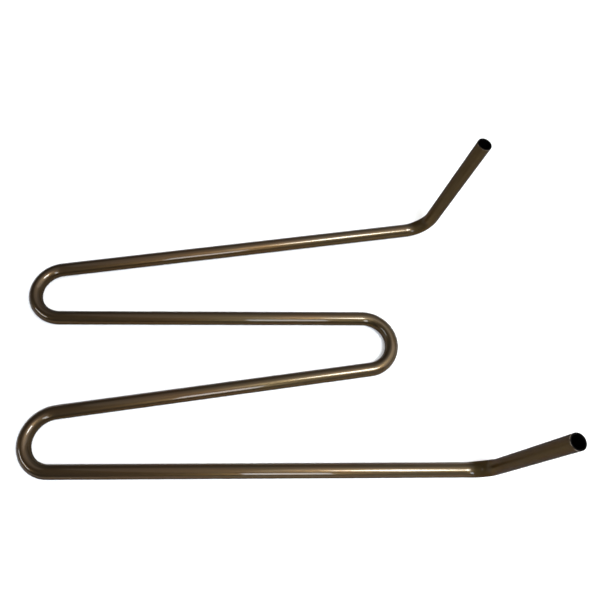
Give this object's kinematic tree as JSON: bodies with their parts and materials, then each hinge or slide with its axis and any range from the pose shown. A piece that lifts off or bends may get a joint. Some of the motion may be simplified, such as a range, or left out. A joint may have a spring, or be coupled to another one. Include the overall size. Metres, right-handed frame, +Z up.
{
  "type": "serpentine heating tube",
  "caption": "Bare round steel tube bent into a flat fanned serpentine, with both open ends turned up as leaning stubs.",
  "frame": {"origin": "under the middle of the outline, on the plane that the flat serpentine rests on", "axes": "+X along runs 1 and 3 towards the stubs, +Y across the runs from run 1 to run 4, +Z up, the way the stubs stand"},
  "size_m": [0.28, 0.162, 0.0856],
  "materials": {
    "tube": "satin, bronze-brown oxide with fine lengthwise draw lines"
  },
  "bodies": {
    "root": {"serpentine_tube": "tube"}
  },
  "joints": []
}
